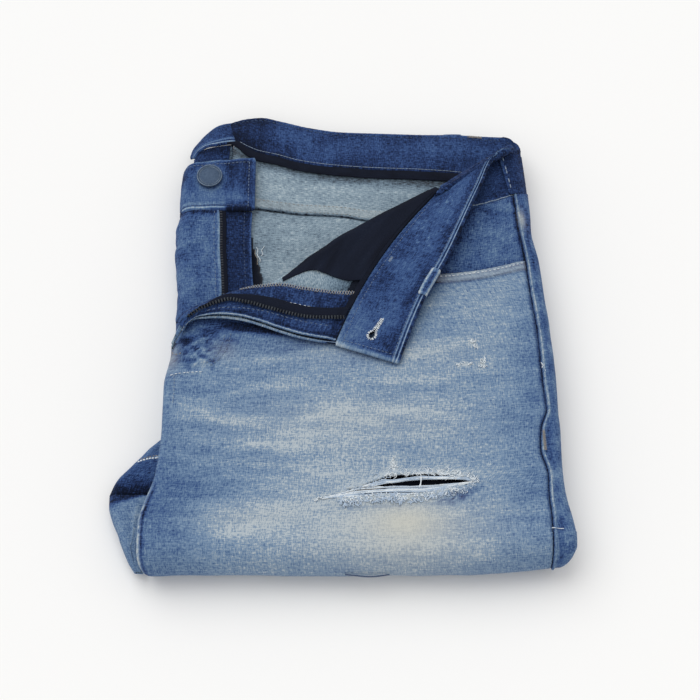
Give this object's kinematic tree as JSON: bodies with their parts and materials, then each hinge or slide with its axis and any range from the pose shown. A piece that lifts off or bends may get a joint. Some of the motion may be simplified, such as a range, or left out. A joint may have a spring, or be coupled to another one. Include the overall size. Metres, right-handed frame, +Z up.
{
  "type": "folded ripped jeans",
  "caption": "Folded five-pocket denim jeans lying flat, fly open with the top corner turned back over the front, faded cloth and a rip across the thigh.",
  "frame": {"origin": "middle of the bounding box in plan, on the surface the garment lies on", "axes": "+Y from the leg fold to the waist, +X from the centre seams to the outseam, +Z up out of the pile"},
  "size_m": [0.2888, 0.336, 0.0438],
  "materials": {
    "faded_denim": "matte, washed and faded",
    "deep_denim": "matte, less washed",
    "wrong_side_denim": "matte, pale wrong side",
    "black_cotton": "matte",
    "button_metal": "dark, satin"
  },
  "bodies": {
    "root": {"hidden_layers": "faded_denim", "left_front": "faded_denim", "left_back": "faded_denim", "right_front": "faded_denim", "crotch_right_back": "faded_denim", "crotch_left_back": "deep_denim", "crotch_layers": "deep_denim", "left_front_corner": "wrong_side_denim", "yoke_left": "wrong_side_denim", "seat_left": "wrong_side_denim", "fly_facing": "deep_denim", "fly_shield": "deep_denim", "pocket_facing": "deep_denim", "yoke_right": "deep_denim", "waistband_left": "deep_denim", "waistband_back": "deep_denim", "waistband_right_back": "deep_denim", "waistband_button_end": "deep_denim", "belt_loop_side": "deep_denim", "belt_loop_back": "deep_denim", "belt_loop_front": "deep_denim", "zip_tape_left": "black_cotton", "zip_tape_right": "black_cotton", "waistband_tape_front": "black_cotton", "waistband_tape_back": "black_cotton", "pocket_bag_upper": "black_cotton", "pocket_bag_lower": "black_cotton", "button": "button_metal"}
  },
  "joints": []
}
